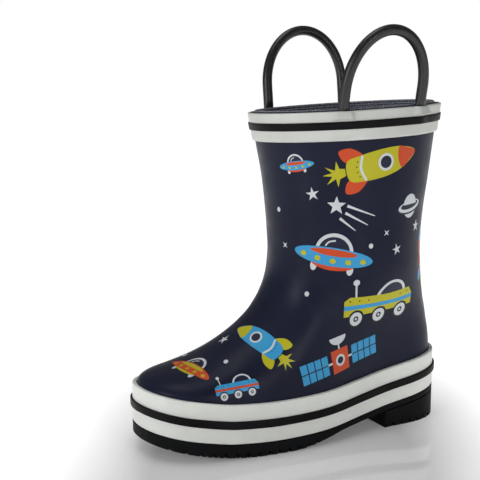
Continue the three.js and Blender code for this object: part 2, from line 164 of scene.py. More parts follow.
vamp = [p for p in front_curve.points[::2].tolist() if p[0] < -24 and p[1] < 90]
crest_z = through([*vamp, [-14, 100], [0, 150], [90, 300]])
sole_z = through([
    [-101, 15.8], [-85, 12.8], [-70, 10.6], [-55, 8.6], [-25, 7.7], [10, 9.3], [46, 14], [91, 20.3],
])
lateral_fit = through([
    [0, 54], [0.11, 46.5], [0.24, 40], [0.37, 36.8], [0.53, 33.6], [0.66, 29.3], [0.79, 29.2],
    [0.9, 36], [1, 45],
])
medial_fit = through([
    [0, 54], [0.11, 48.5], [0.24, 40], [0.37, 33], [0.53, 26.8], [0.66, 26], [0.79, 29.6],
    [0.9, 36.6], [1, 45],
])
leg_half_width = through([
    [30, 33], [60, 35], [80, 38], [95, 40.2], [110, 41.1], [130, 42.2], [150, 44], [168, 45.9],
    [190, 47.6],
])


def foxing_top_z(y):
    return sole_z(y) + FOXING_HEIGHT


def upper_half_width(y, z, lateral):
    front, back = front_y(z), back_y(z)
    share = np.clip((y - front) / (back - front), 0, 1)
    leg = leg_half_width(z) * np.sqrt(4 * share * (1 - share))
    footprint_y = y + (HEEL_Y - back) * smoothstep(0, back, y)
    along = np.clip((footprint_y - TOE_Y) / (HEEL_Y - TOE_Y), 0, 1)
    fit = np.where(lateral, lateral_fit(along), medial_fit(along))
    base = foxing_top_z(y)
    rise = np.clip((z - base) / np.maximum(crest_z(y) - base, 0.5), 0, 1)
    foot = fit * np.sqrt(4 * along * (1 - along)) * np.sqrt(1 - rise**2.1)
    return mix(foot, leg, smoothstep(36, 104, z))


def upper_point(angle, level):
    """Outer face. Angle 0 is the toe, then over the lateral side; level 0 is the foxing's
    top, 1 the rim and -1 the lower edge."""
    angle, level = np.broadcast_arrays(np.asarray(angle, float), np.asarray(level, float))
    up = np.maximum(level, 0)
    fy, fz = front_curve.at(up)
    by, bz = back_curve.at(up)
    share = (1 - np.cos(angle)) / 2
    y = mix(fy, by, share)
    sole_curve = foxing_top_z(mix(TOE_Y, HEEL_Y, share))
    sag = sole_curve - mix(foxing_top_z(TOE_Y), foxing_top_z(HEEL_Y), share)
    z = mix(fz, bz, share) + sag * (1 - up) ** 3
    lateral = np.sin(angle) >= 0
    half_width = upper_half_width(y, z, lateral)
    x = np.where(lateral, half_width, -half_width)
    return np.stack([x, y, z + np.minimum(level, 0) * FOXING_HEIGHT], axis=-1)


def unit(v):
    return v / np.maximum(np.linalg.norm(v, axis=-1, keepdims=True), 1e-12)


def around_at(angle, level):
    return upper_point(angle + 0.05, level) - upper_point(angle - 0.05, level)


def upper_normal(angle, level):
    low, high = np.maximum(level - 0.03, -1), np.minimum(level + 0.03, 1)
    upward = upper_point(angle, high) - upper_point(angle, low)
    return unit(np.cross(around_at(angle, level), upward))


def offset_point(angle, level, distance):
    angle, level = np.broadcast_arrays(angle, level)
    move = np.broadcast_to(np.asarray(distance, float), angle.shape)[..., None]
    return upper_point(angle, level) + upper_normal(angle, level) * move


def plan_normal(angle, level):
    around = around_at(angle, level)
    flat = np.stack([around[..., 1], -around[..., 0], np.zeros_like(around[..., 0])], axis=-1)
    return unit(flat)


def outline_point(angle, distance, height):
    """The foot's outline in plan, moved out, at a height above the foxing's underside."""
    angle, distance, height = np.broadcast_arrays(angle, distance, height)
    level = np.zeros_like(angle, dtype=float)
    here = upper_point(angle, level) + plan_normal(angle, level) * distance[..., None]
    here[..., 2] = sole_z(here[..., 1]) + height
    return here


def collar_point(angle, down, distance):
    """A distance down from the rim, moved out from the upper's face."""
    angle, down, distance = np.broadcast_arrays(
        np.asarray(angle, float), np.asarray(down, float), np.asarray(distance, float)
    )
    length = mix(front_curve.length, back_curve.length, (1 - np.cos(angle)) / 2)
    level = 1 - np.maximum(down, 0) / length
    here = upper_point(angle, level) + plan_normal(angle, level) * distance[..., None]
    here[..., 2] -= np.minimum(down, 0)
    return here


def placed(points):
    return (np.asarray(points, float) + FRAME_SHIFT) * MM


# ---- mesh making

def new_object(name, verts, faces, materials, uvs=None, sharp=35):
    """A mesh object, smooth shaded apart from edges sharper than the angle in degrees."""
    mesh = bpy.data.meshes.new(name)
    mesh.from_pydata([tuple(v) for v in verts], [], [tuple(f) for f in faces])
    if uvs is not None:
        layer = mesh.uv_layers.new(name="Layout")
        layer.data.foreach_set("uv", np.asarray(uvs, np.float32).ravel())
    for material in materials:
        mesh.materials.append(material)
    mesh.shade_smooth()
    if sharp:
        mesh.set_sharp_from_angle(angle=math.radians(sharp))
    obj = bpy.data.objects.new(name, mesh)
    bpy.context.scene.collection.objects.link(obj)
    return obj


def ring_solid(name, grid, material, sharp=35):
    """A closed ring: grid[i, j] runs round the boot with i and round the section with j.
    Its UVs are millimetres along and across."""
    columns, rows = grid.shape[:2]
    verts = placed(grid.reshape(-1, 3))
    step = np.linalg.norm(np.roll(grid, -1, axis=0) - grid, axis=2).mean(axis=1)
    rise = np.linalg.norm(np.roll(grid, -1, axis=1) - grid, axis=2).mean(axis=0)
    u = np.concatenate([[0], np.cumsum(step)])
    v = np.concatenate([[0], np.cumsum(rise)])
    i, j = np.meshgrid(np.arange(columns), np.arange(rows), indexing="ij")
    i, j = i.ravel(), j.ravel()
    i1, j1 = (i + 1) % columns, (j + 1) % rows
    faces = np.stack([i * rows + j, i1 * rows + j, i1 * rows + j1, i * rows + j1], axis=1)
    corners = [(i, j), (i + 1, j), (i + 1, j + 1), (i, j + 1)]
    uvs = np.stack([np.stack([u[a], v[b]], axis=1) for a, b in corners], axis=1)
    return new_object(name, verts, faces, [material], uvs, sharp)


def tube_faces(columns, rows):
    """Faces of a tube closed by a face at each end."""
    faces = [
        (i * rows + j, (i + 1) * rows + j, (i + 1) * rows + (j + 1) % rows, i * rows + (j + 1) % rows)
        for i in range(columns - 1) for j in range(rows)
    ]
    return [*faces, tuple(range(rows)), tuple((columns - 1) * rows + j for j in reversed(range(rows)))]


def stands_for(piece, node):
    """Fixes a piece to the boot in place of its CAD node."""
    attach(piece, "boot")
    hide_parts(node)


def settled(obj):
    """Makes the faces point out."""
    bm = bmesh.new()
    bm.from_mesh(obj.data)
    bmesh.ops.remove_doubles(bm, verts=bm.verts, dist=1e-6)
    bmesh.ops.dissolve_degenerate(bm, edges=bm.edges, dist=1e-7)
    bmesh.ops.recalc_face_normals(bm, faces=bm.faces)
    bm.to_mesh(obj.data)
    bm.free()
    return obj


def band(inner, outer, low, high, radius, steps=3):
    """Section of a tape as (distance, height) pairs, with both outer edges rounded."""
    section = [(inner, low)]
    for k in range(steps + 1):
        turn = math.pi / 2 * k / steps
        section.append((outer - radius + radius * math.sin(turn), low + radius - radius * math.cos(turn)))
    for k in range(1, 4):
        section.append((outer, mix(low + radius, high - radius, k / 4)))
    for k in range(steps + 1):
        turn = math.pi / 2 * k / steps
        section.append((outer - radius + radius * math.cos(turn), high - radius + radius * math.sin(turn)))
    section.append((inner, high))
    return np.array(section)


# ---- materials

def material(name, color, roughness, **settings):
    """A Principled material, its tree and its shader."""
    made = bpy.data.materials.new(name)
    made.use_nodes = True
    shader = made.node_tree.nodes["Principled BSDF"]
    shader.inputs["Base Color"].default_value = (*color, 1)
    shader.inputs["Roughness"].default_value = roughness
    for socket, value in settings.items():
        shader.inputs[socket.replace("_", " ")].default_value = value
    return made, made.node_tree, shader


def linear(code):
    """Linear colour of an sRGB hex code."""
    channels = [int(code[k:k + 2], 16) / 255 for k in (0, 2, 4)]
    return tuple(c / 12.92 if c < 0.04045 else ((c + 0.055) / 1.055) ** 2.4 for c in channels)


def add_node(tree, kind, **values):
    node = tree.nodes.new(kind)
    for key, value in values.items():
        if hasattr(node, key):
            setattr(node, key, value)
        else:
            node.inputs[key.replace("_", " ")].default_value = value
    return node


def place_of(tree, uv=False):
    source = add_node(tree, "ShaderNodeTexCoord")
    return source.outputs["UV" if uv else "Object"]


def noise(tree, place, scale, detail=2.0, roughness=0.5, distortion=0.0):
    node = add_node(tree, "ShaderNodeTexNoise", Scale=scale, Detail=detail)
    node.inputs["Roughness"].default_value = roughness
    node.inputs["Distortion"].default_value = distortion
    tree.links.new(place, node.inputs["Vector"])
    return node.outputs["Fac"]


def spread(tree, value, low, high, to_low, to_high):
    node = add_node(tree, "ShaderNodeMapRange", clamp=True)
    for socket, number in zip(("From Min", "From Max", "To Min", "To Max"), (low, high, to_low, to_high)):
        node.inputs[socket].default_value = number
    tree.links.new(value, node.inputs["Value"])
    return node.outputs["Result"]


def blended(tree, share, first, second):
    """Colour mixed from two colours, or from colour outputs, by share."""
    node = add_node(tree, "ShaderNodeMix", data_type="RGBA")
    tree.links.new(share, node.inputs["Factor"])
    for socket, value in ((node.inputs[6], first), (node.inputs[7], second)):
        if isinstance(value, tuple):
            socket.default_value = (*value, 1)
        else:
            tree.links.new(value, socket)
    return node.outputs[2]


def bump(tree, shader, layers):
    """Stacks bumps: each layer is (height output, depth in metres, strength)."""
    last = None
    for height, depth, strength in layers:
        node = add_node(tree, "ShaderNodeBump", Strength=strength, Distance=depth)
        tree.links.new(height, node.inputs["Height"])
        if last is not None:
            tree.links.new(last, node.inputs["Normal"])
        last = node.outputs["Normal"]
    tree.links.new(last, shader.inputs["Normal"])


def rubber(name, color, worn, roughness, wave=0.0004, grain=0.00003, **settings):
    """Vulcanised rubber: faint cloudy colour, uneven gloss, a slow ripple and a fine grain."""
    made, tree, shader = material(name, color, roughness, **settings)
    place = place_of(tree)
    cloud = noise(tree, place, 35, 4, 0.6)
    share = spread(tree, cloud, 0.35, 0.75, 0, 1)
    tree.links.new(blended(tree, share, color, worn), shader.inputs["Base Color"])
    gloss = spread(tree, noise(tree, place, 120, 3), 0.3, 0.7, roughness - 0.05, roughness + 0.06)
    tree.links.new(gloss, shader.inputs["Roughness"])
    slow, fine = noise(tree, place, 22, 1), noise(tree, place, 2600, 2)
    bump(tree, shader, [(slow, wave, 0.35), (fine, grain, 0.5)])
    return made


def ink(name, code):
    """Screen-printed ink on the rubber: an even colour under the same satin finish."""
    color = linear(code)
    made, tree, shader = material(name, color, 0.4, Specular_IOR_Level=0.2)
    place = place_of(tree)
    gloss = spread(tree, noise(tree, place, 160, 3), 0.3, 0.7, 0.34, 0.46)
    tree.links.new(gloss, shader.inputs["Roughness"])
    slow, fine = noise(tree, place, 22, 1), noise(tree, place, 2600, 2)
    bump(tree, shader, [(slow, 0.0004, 0.35), (fine, 0.00004, 0.5)])
    return made


def crossing(tree, place, waves):
    """Product of two wave patterns, each (direction, scale, distortion, detail scale)."""
    product = add_node(tree, "ShaderNodeMath", operation="MULTIPLY")
    for k, (direction, scale, distortion, detail) in enumerate(waves):
        wave = add_node(
            tree, "ShaderNodeTexWave", bands_direction=direction, Scale=scale, Distortion=distortion,
            Detail_Scale=detail,
        )
        tree.links.new(place, wave.inputs["Vector"])
        tree.links.new(wave.outputs["Fac"], product.inputs[k])
    return product.outputs["Value"]


def knit(name):
    """Knitted lining: rows of loops along the ring, marled from navy and grey yarn."""
    made, tree, shader = material(
        name, linear("3a3d52"), 0.9, Sheen_Weight=0.25, Sheen_Roughness=0.5
    )
    uv = place_of(tree, uv=True)
    loops = crossing(tree, uv, (("Y", 0.2, 0.6, 2.0), ("X", 0.3, 0.8, 1.0)))
    stretched = add_node(tree, "ShaderNodeMapping")
    stretched.inputs["Scale"].default_value = (0.35, 1.6, 1)
    tree.links.new(uv, stretched.inputs["Vector"])
    marl = noise(tree, stretched.outputs["Vector"], 1.6, 3, 0.7)
    yarn = blended(tree, spread(tree, marl, 0.42, 0.6, 0, 1), linear("565a70"), linear("cccfd7"))
    shade = blended(tree, spread(tree, loops, 0, 0.6, 0, 1), linear("292b3e"), yarn)
    tree.links.new(shade, shader.inputs["Base Color"])
    bump(tree, shader, [(loops, 0.0006, 0.8)])
    return made


def fibrous(name, dark, light, scale, roughness, depth, stretch=(1, 1, 1)):
    """Board, non-woven stiffener, sponge or foam: mottled colour and an open, matt grain."""
    made, tree, shader = material(name, linear(light), roughness)
    mapping = add_node(tree, "ShaderNodeMapping")
    mapping.inputs["Scale"].default_value = stretch
    tree.links.new(place_of(tree), mapping.inputs["Vector"])
    mottle = noise(tree, mapping.outputs["Vector"], scale, 6, 0.7)
    share = spread(tree, mottle, 0.35, 0.7, 0, 1)
    tree.links.new(blended(tree, share, linear(dark), linear(light)), shader.inputs["Base Color"])
    bump(tree, shader, [(mottle, depth, 0.7)])
    return made


def woven(name, dark, light, threads):
    """Plain woven cloth with that many threads to the metre."""
    made, tree, shader = material(
        name, linear(light), 0.9, Sheen_Weight=0.2, Sheen_Roughness=0.5
    )
    cross = crossing(tree, place_of(tree), [(way, threads / 20, 0.5, 1.0) for way in "XY"])
    share = spread(tree, cross, 0, 0.7, 0, 1)
    tree.links.new(blended(tree, share, linear(dark), linear(light)), shader.inputs["Base Color"])
    bump(tree, shader, [(cross, 0.0003, 0.7)])
    return made


NAVY = rubber(
    "Navy_rubber", linear("1a1d2e"), linear("202336"), 0.36, wave=0.0005, Specular_IOR_Level=0.09
)
WHITE = rubber("White_rubber", linear("e6e8e3"), linear("dadcd7"), 0.45, wave=0.0003)
# The collar tape is the same white rubber as the foxing, painted darker here as shade.
SHADED_COLLAR_WHITE = rubber("Collar_rubber_painted_shade", linear("cbcdc8"), linear("bfc1bc"), 0.45, wave=0.0003)
BLACK = rubber(
    "Black_rubber", linear("0d0d0e"), linear("131314"), 0.42, wave=0.0003, Specular_IOR_Level=0.08
)
SOLE_BLACK = rubber(
    "Sole_rubber", linear("0b0c0d"), linear("131416"), 0.55, grain=0.00006, Specular_IOR_Level=0.07
)
CORD_BLACK = rubber(
    "Handle_rubber", linear("121214"), linear("18191c"), 0.34, grain=0.000012, Specular_IOR_Level=0.5
)
KNIT = knit("Marled_knit")
INKS = {
    "blue": ink("Ink_blue", "3897c9"),
    "red": ink("Ink_red", "c64a24"),
    "yellow": ink("Ink_yellow", "b6b023"),
    "white": ink("Ink_white", "c9ced1"),
    "black": ink("Ink_black", "15161c"),
    "navy": ink("Ink_navy", "1f2138"),
}

for node, look in {
    "toe_puff": fibrous("Toe_stiffener", "9c9079", "c6bba5", 900, 0.9, 0.0003),
    "heel_counter": fibrous("Heel_stiffener", "9c9079", "c6bba5", 900, 0.9, 0.0003),
    "insole_board": fibrous("Fibre_board", "8c7350", "b89d77", 700, 0.92, 0.0002, (1, 0.2, 1)),
    "midsole_filler": fibrous("Sponge_rubber", "4b4b4f", "77777b", 1400, 0.95, 0.0005),
    "footbed_foam": fibrous("Footbed_foam", "cfc7ad", "ebe4cf", 1800, 0.95, 0.0004),
    "footbed_cloth": woven("Footbed_cloth", "262a3d", "4a4f66", 900),
}.items():
    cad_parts[node].data.materials.clear()
    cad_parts[node].data.materials.append(look)

# ---- upper shell

AROUND = np.linspace(0, 2 * np.pi, 300, endpoint=False)
OUTER_LEVELS = np.concatenate([[-0.97, -0.6, -0.25, -0.06], np.linspace(0, 1, 131)])


def crease(points):
    """Soft folds that wearing leaves across the front of the ankle, as heights in mm."""
    x, y, z = points[..., 0], points[..., 1], points[..., 2]
    height = np.zeros_like(x)
    for middle_y, middle_z, slope, reach, width, depth in (
        (22, 96, -0.62, 26, 4.5, 0.55), (10, 84, -0.45, 18, 4.0, -0.4), (-4, 110, 0.25, 16, 5.0, -0.3),
    ):
        along = y - middle_y
        across = (z - middle_z - slope * along) / width
        height += depth * np.exp(-(along / reach) ** 2 - across**2) * smoothstep(6, 22, np.abs(x))
    return height


def build_shell():
    angle = AROUND[:, None]
    outer = upper_point(angle, OUTER_LEVELS[None, :])
    normal = upper_normal(*np.broadcast_arrays(angle, OUTER_LEVELS[None, :]))
    outer = outer + normal * crease(outer)[..., None]
    inner_levels = np.concatenate([np.linspace(1, 0, 46), [-0.5, -0.97]])
    inner = offset_point(angle, inner_levels[None, :], -SHELL_THICKNESS)
    shell = ring_solid("boot_shell", np.concatenate([outer, inner], axis=1), NAVY)
    stands_for(shell, "upper_shell")
    return outer[:, 4:], normal[:, 4:]


def build_lining():
    angle = AROUND[::2, None]
    foot = (GAP * 2 + 1.8) / FOXING_HEIGHT - 1
    levels = np.concatenate([[foot, -0.45], np.linspace(0, 1, 90)])
    grid_angle, grid_level = np.broadcast_arrays(angle, levels[None, :])
    toe = np.abs(np.arctan2(np.sin(grid_angle), np.cos(grid_angle)))
    heel = np.abs(np.arctan2(np.sin(grid_angle - np.pi), np.cos(grid_angle - np.pi)))
    near_toe = smoothstep(1.36, 1.2, toe) * smoothstep(0.27, 0.2, grid_level)
    near_heel = smoothstep(1.23, 1.07, heel) * smoothstep(0.35, 0.28, grid_level)
    room = (STIFFENER_THICKNESS + GAP) * np.maximum(near_toe, near_heel)
    depth = SHELL_THICKNESS + GAP + room
    outer = offset_point(grid_angle, grid_level, -depth)
    inner = offset_point(grid_angle, grid_level, -depth - LINING_THICKNESS)
    # The cut edge stands a little over the rim and is rounded.
    lift = np.array([0, 0, 1.0])
    top_out, top_in = outer[:, -1], inner[:, -1]
    lip = [top_out + lift * 0.6, (top_out + top_in) / 2 + lift * 0.95, top_in + lift * 0.6]
    lip = np.stack(lip, axis=1)
    grid = np.concatenate([outer, lip, inner[:, ::-1]], axis=1)
    lining = ring_solid("knit_lining", grid, KNIT, sharp=0)
    stands_for(lining, "lining")


# ---- foxing

def build_foxing():
    angle = AROUND[:, None]
    near, far = GAP, GAP + FOXING_THICKNESS
    section = band(near, far, 0, FOXING_HEIGHT, 0.9)
    grid = outline_point(angle, section[None, :, 0], section[None, :, 1])
    tape = ring_solid("white_foxing", grid, WHITE)
    section = band(far - 0.4, far + GAP + STRIPE_THICKNESS, STRIPE_LOW, STRIPE_HIGH, 0.45)
    grid = outline_point(angle, section[None, :, 0], section[None, :, 1])
    stripe = ring_solid("black_foxing_stripe", grid, BLACK)
    stands_for(tape, "foxing_tape")
    stands_for(stripe, "foxing_stripe")


# ---- outsole and heel

def tread_z(y):
    toe = TOE_SPRING * np.clip((-42 - y) / 59, 0, 1.1) ** 1.6
    return mix(toe, sole_z(y) - GAP - ARCH_SOLE_THICKNESS, smoothstep(-22, 16, y))


def slab(name, angles, low_z, high_z, radius=0.9):
    """A closed slab inside the sole's outline, with rounded lower edges."""
    sections = []
    for angle in angles:
        half = []
        for side in (angle, -angle):
            edge = outline_point(np.array(side), np.array(GAP + FOXING_THICKNESS), np.array(0.0))
            inward = -plan_normal(np.array(side), np.array(0.0))
            low, high = float(low_z(edge[1])), float(high_z(edge[1]))
            r = min(radius, (high - low) * 0.4)
            points = [edge + [0, 0, high - edge[2]]]
            points += [edge + [0, 0, mix(high, low + r, k / 5) - edge[2]] for k in range(1, 5)]
            for k in range(4):
                turn = math.pi / 2 * k / 3
                moved = edge + inward * r * (1 - math.cos(turn))
                moved[2] = low + r - r * math.sin(turn)
                points.append(moved)
            half.append(points)
        sections.append(np.array(half[0] + half[1][::-1]))
    grid = np.array(sections)
    faces = tube_faces(*grid.shape[:2])
    return settled(new_object(name, placed(grid.reshape(-1, 3)), faces, [SOLE_BLACK]))


def box_points(center, size, turn=0.0):
    """Corners of an upright box turned about Z."""
    cx, cy, cz = center
    c, s = math.cos(turn), math.sin(turn)
    corners = []
    for dz in (-0.5, 0.5):
        for dx, dy in ((-0.5, -0.5), (0.5, -0.5), (0.5, 0.5), (-0.5, 0.5)):
            x, y = dx * size[0], dy * size[1]
            corners.append((cx + x * c - y * s, cy + x * s + y * c, cz + dz * size[2]))
    return corners


BOX_FACES = [(3, 2, 1, 0), (4, 5, 6, 7), (0, 1, 5, 4), (1, 2, 6, 5), (2, 3, 7, 6), (3, 0, 4, 7)]


def cut(obj, boxes):
    """Cuts boxes out of a piece, one group of boxes that don't touch at a time."""
    for k, group in enumerate(boxes):
        verts, faces = [], []
        for corners in group:
            faces += [tuple(len(verts) + i for i in f) for f in BOX_FACES]
            verts += corners
        cutter = new_object(f"cutter_{k}", placed(verts), faces, [SOLE_BLACK])
        modifier = obj.modifiers.new("Cut", "BOOLEAN")
        modifier.operation = "DIFFERENCE"
        modifier.solver = "EXACT"
        modifier.object = cutter
        evaluated = obj.evaluated_get(bpy.context.evaluated_depsgraph_get())
        mesh = bpy.data.meshes.new_from_object(evaluated)
        obj.modifiers.clear()
        obj.data = mesh
        bpy.data.objects.remove(cutter)
    obj.data.shade_smooth()
    obj.data.set_sharp_from_angle(angle=math.radians(35))
    return obj


TREAD_PITCH = 6.2


def tread_boxes(start, stop, low_z):
    """Grooves running in from both edges, and short notches in the edge between them."""
    grooves, notches = [], []
    row = 0
    y = start
    while y <= stop:
        for side in (-1, 1):
            grooves.append(box_points((side * 31, y, low_z(y)), (26, 1.5, 5.2), side * 0.24))
            if row % 3 != 1:
                angle_y = y + TREAD_PITCH * 0.5
                notches.append(box_points((side * 38, angle_y, low_z(angle_y)), (20, 1.0, 4.0), -side * 0.1))
        row += 1
        y += TREAD_PITCH
    return [grooves, notches]


def chevrons(start, stop, low_z):
    """V-shaped grooves along the middle of the tread."""
    boxes = []
    y = start
    while y <= stop:
        boxes.append(box_points((-8.6, y + 1.4, low_z(y)), (15, 1.8, 3.6), 0.5))
        boxes.append(box_points((8.6, y + 1.4, low_z(y)), (15, 1.8, 3.6), -0.5))
        y += 2 * TREAD_PITCH
    return boxes


def build_sole():
    outsole = slab("black_outsole", np.linspace(0.02, np.pi - 0.02, 110), tread_z, lambda y: sole_z(y) - GAP)
    cut(outsole, [*tread_boxes(-88, -6, tread_z), chevrons(-80, -14, tread_z)])
    heel = slab(
        "black_heel", np.linspace(1.6, np.pi - 0.02, 70), lambda y: 0.0,
        lambda y: sole_z(y) - 2 * GAP - ARCH_SOLE_THICKNESS,
    )
    breast = [box_points((0, HEEL_BREAST_Y - 40, 10), (120, 80, 60))]
    ground = tread_boxes(HEEL_BREAST_Y + 7, 86, lambda y: 0.0)
    cut(heel, [breast, *ground, chevrons(HEEL_BREAST_Y + 8, 82, lambda y: 0.0)])
    stands_for(outsole, "outsole")
    stands_for(heel, "heel_block")


# ---- collar

def rim_angle(y):
    front, back = FRONT_LINE[-1][0], BACK_LINE[-1][0]
    return math.acos(1 - 2 * (y - front) / (back - front))


ROOT_ANGLES = {
    "lateral_front": rim_angle(LATERAL_HANDLE["front"]),
    "lateral_rear": rim_angle(LATERAL_HANDLE["rear"]),
    "medial_front": 2 * math.pi - rim_angle(MEDIAL_HANDLE["front"]),
    "medial_rear": 2 * math.pi - rim_angle(MEDIAL_HANDLE["rear"]),
}
SOCKET_FOOT = 5.0  # the socket ends just above the black stripe
FLANK = 2.4  # reach of its sloped sides


def socket_height(angle, down):
    """How far the collar stands off over the handle ends: a block with sloped sides in the
    upper band, and a shallow swell under it."""
    height = np.zeros(np.broadcast(angle, down).shape)
    for root in ROOT_ANGLES.values():
        away = np.abs(angle - root) * MEAN_RIM_RADIUS
        half = mix(3.2, 3.9, np.clip(down / SOCKET_FOOT, 0, 1))
        flank = np.clip((half + FLANK - away) / FLANK, 0, 1) ** 1.3
        block = flank * np.clip((SOCKET_FOOT + 0.2 - down) / 0.9, 0, 1)
        swell = np.exp(-(away / 5.2) ** 2) * mix(1.8, 0.7, smoothstep(4, COLLAR_HEIGHT, down))
        face = mix(SOCKET_TOP - 0.1, SOCKET_TOP + 2.2, np.clip(down / SOCKET_FOOT, 0, 1))
        height = np.maximum(height, np.maximum(block * face, swell))
    return height


def collar_angles():
    near = [root + k * 0.4 / MEAN_RIM_RADIUS for root in ROOT_ANGLES.values() for k in range(-20, 21)]
    angles = np.sort(np.concatenate([AROUND, near]))
    return angles[np.concatenate([[True], np.diff(angles) > 0.003])]


def build_collar():
    angle = collar_angles()[:, None]
    near, far = GAP, GAP + COLLAR_THICKNESS
    downs = np.concatenate([
        [0.0, 0.15, 0.5], np.linspace(1, 7, 16), np.linspace(8, 15.4, 8), [15.9, COLLAR_HEIGHT],
    ])
    outs = np.full_like(downs, far)
    outs[[0, -1]] -= 0.55
    outs[[1, -2]] -= 0.2
    outer = collar_point(angle, downs[None, :], outs[None, :] + socket_height(angle, downs[None, :]))
    back = downs[None, ::-1]
    inner = collar_point(angle, back, near + socket_height(angle, back) * 0.96)
    # Its rubber is the foxing's white, painted darker as shade.
    tape = ring_solid("white_collar", np.concatenate([outer, inner], axis=1), SHADED_COLLAR_WHITE, sharp=50)

    face = far + 0.75
    middle = np.linspace(COLLAR_STRIPE_TOP + 0.5, COLLAR_STRIPE_BOTTOM - 0.5, 5)
    downs = np.concatenate([
        [COLLAR_STRIPE_TOP, COLLAR_STRIPE_TOP, COLLAR_STRIPE_TOP + 0.15], middle,
        [COLLAR_STRIPE_BOTTOM - 0.15, COLLAR_STRIPE_BOTTOM, COLLAR_STRIPE_BOTTOM],
    ])
    edge = [far - 0.3, face - 0.4, face - 0.1]
    outs = np.array([*edge, *[face] * len(middle), *edge[::-1]])
    swell = socket_height(angle, np.maximum(downs, SOCKET_FOOT + 0.9)[None, :])
    grid = collar_point(angle, downs[None, :], outs[None, :] + swell)
    stripe = ring_solid("black_collar_stripe", grid, BLACK)
    stands_for(settled(tape), "collar_tape")
    stands_for(settled(stripe), "collar_stripe")


# ---- handles

def hinge_point(root):
    rim = collar_point(root, 0.0, (GAP + SOCKET_TOP) / 2 + 0.2)
    return rim + [0, 0, HINGE_ABOVE_RIM]


def tongue_line(root):
    """The cord's end under the collar, from its lowest point up to the rim."""
    downs = np.array([11, 9.5, 8, 5.6, 3.6, 2, 0.6])
    room = 0.1 + np.minimum(socket_height(root, downs), SOCKET_TOP) * 0.96
    return collar_point(root, downs, 0.15 + room / 2), room / 2


def build_handle(side, outward, sizes):
    roots = [ROOT_ANGLES[f"{side}_front"], ROOT_ANGLES[f"{side}_rear"]]
    front, rear = hinge_point(roots[0]), hinge_point(roots[1])
    middle, half_span = (front + rear) / 2, np.linalg.norm(rear - front) / 2
    lean = math.radians(sizes["lean"])
    along = unit(rear - front)
    up = np.array([outward * math.sin(lean), 0, math.cos(lean)])
    turns = np.linspace(np.pi, 0, 72)
    arch = [
        middle + along * math.cos(t) * half_span + up * (sizes["legs"] + math.sin(t) * sizes["arch"])
        for t in turns
    ]
    legs = np.linspace(0, 0.86, 6) * sizes["legs"]
    front_leg = [front + up * h for h in legs]
    rear_leg = [rear + up * h for h in legs[::-1]]
    front_tongue, thick = tongue_line(roots[0])
    rear_tongue, _ = tongue_line(roots[1])
    line = np.array([*front_tongue, *front_leg, *arch, *rear_leg, *rear_tongue[::-1]])
    # Two passes of smoothing take the corners out of the joins, but leave the ends alone.
    for _ in range(2):
        line[1:-1] = line[1:-1] * 0.5 + (line[:-2] + line[2:]) * 0.25
    count = len(thick)
    radial = np.full(len(line), CORD_RADIUS)
    across = np.full(len(line), CORD_RADIUS)
    radial[:count], radial[-count:] = thick, thick[::-1]
    across[:count] = [2.4, 2.7, 3, 3.2, 3.3, 3.3, 3.2]
    across[-count:] = across[:count][::-1]
    tangent = unit(np.gradient(line, axis=0))
    outwards = np.array([outward, 0, 0.0])
    normal = unit(outwards - tangent * (tangent @ outwards)[:, None])
    binormal = np.cross(tangent, normal)
    sides = 28
    grid = []
    for k in range(sides):
        turn = 2 * math.pi * k / sides
        out = normal * (radial * math.cos(turn))[:, None]
        grid.append(line + out + binormal * (across * math.sin(turn))[:, None])
    grid = np.array(grid).transpose(1, 0, 2)
    faces = tube_faces(*grid.shape[:2])
    cord = settled(new_object(f"{side}_handle_cord", placed(grid.reshape(-1, 3)), faces, [CORD_BLACK]))
    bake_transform(cord)
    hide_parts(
        f"handle_{side}_loop", f"handle_root_{side}_front", f"handle_root_{side}_rear",
    )


# ---- drawing the print

def oval(cx, cy, rx, ry, tilt=0.0, start=0.0, stop=360.0, count=30):
    """Ellipse, or a piece of one closed by its chord."""
    whole = stop - start >= 360
    turns = np.radians(np.linspace(start, stop, count, endpoint=not whole))
    x, y = rx * np.cos(turns), ry * np.sin(turns)
    c, s = math.cos(math.radians(tilt)), math.sin(math.radians(tilt))
    return np.stack([cx + x * c - y * s, cy + x * s + y * c], axis=1)


def curved(points, steps=7):
    """Closed smooth outline through a few points."""
    pts = np.array(points, float)
    t = np.linspace(0, 1, steps, endpoint=False)[:, None]
    around = [np.roll(pts, k, axis=0) for k in (1, 0, -1, -2)]
    parts = [catmull_rom(*ends, t) for ends in zip(*around)]
    return np.vstack(parts)


def box(x0, y0, x1, y1):
    return np.array([(x0, y0), (x0, y1), (x1, y1), (x1, y0)], float)


def stroke(points, start_width, end_width):
    """A brush stroke along a smooth line, with its width going from start to end."""
    line = Spline(points, 8).points
    ahead = np.gradient(line, axis=0)
    side = np.stack([-ahead[:, 1], ahead[:, 0]], axis=1)
    side /= np.linalg.norm(side, axis=1)[:, None]
    width = np.linspace(start_width, end_width, len(line))[:, None] / 2
    return np.vstack([line + side * width, (line - side * width)[::-1]])


def star(cx, cy, radius, turn=90.0, points=5, waist=0.42):
    turns = np.radians(turn + np.arange(2 * points) * 180 / points)
    reach = np.where(np.arange(2 * points) % 2 == 0, radius, radius * waist)
    return np.stack([cx + reach * np.cos(turns), cy + reach * np.sin(turns)], axis=1)


def flame(cx, cy, length, height, turn=0.0):
    """A ragged burst with its root at (cx, cy), pointing along the turn in degrees."""
    shape = [
        (0, 0.2), (0.3, 0.3), (0.46, 0.74), (0.5, 0.26), (0.98, 0.5), (0.66, 0.1), (1.12, -0.02),
        (0.64, -0.1), (0.94, -0.46), (0.48, -0.2), (0.36, -0.7), (0.26, -0.26), (0, -0.2),
    ]
    c, s = math.cos(math.radians(turn)), math.sin(math.radians(turn))
    return np.array([
        (cx + x * length * c - y * height * s, cy + x * length * s + y * height * c) for x, y in shape
    ])


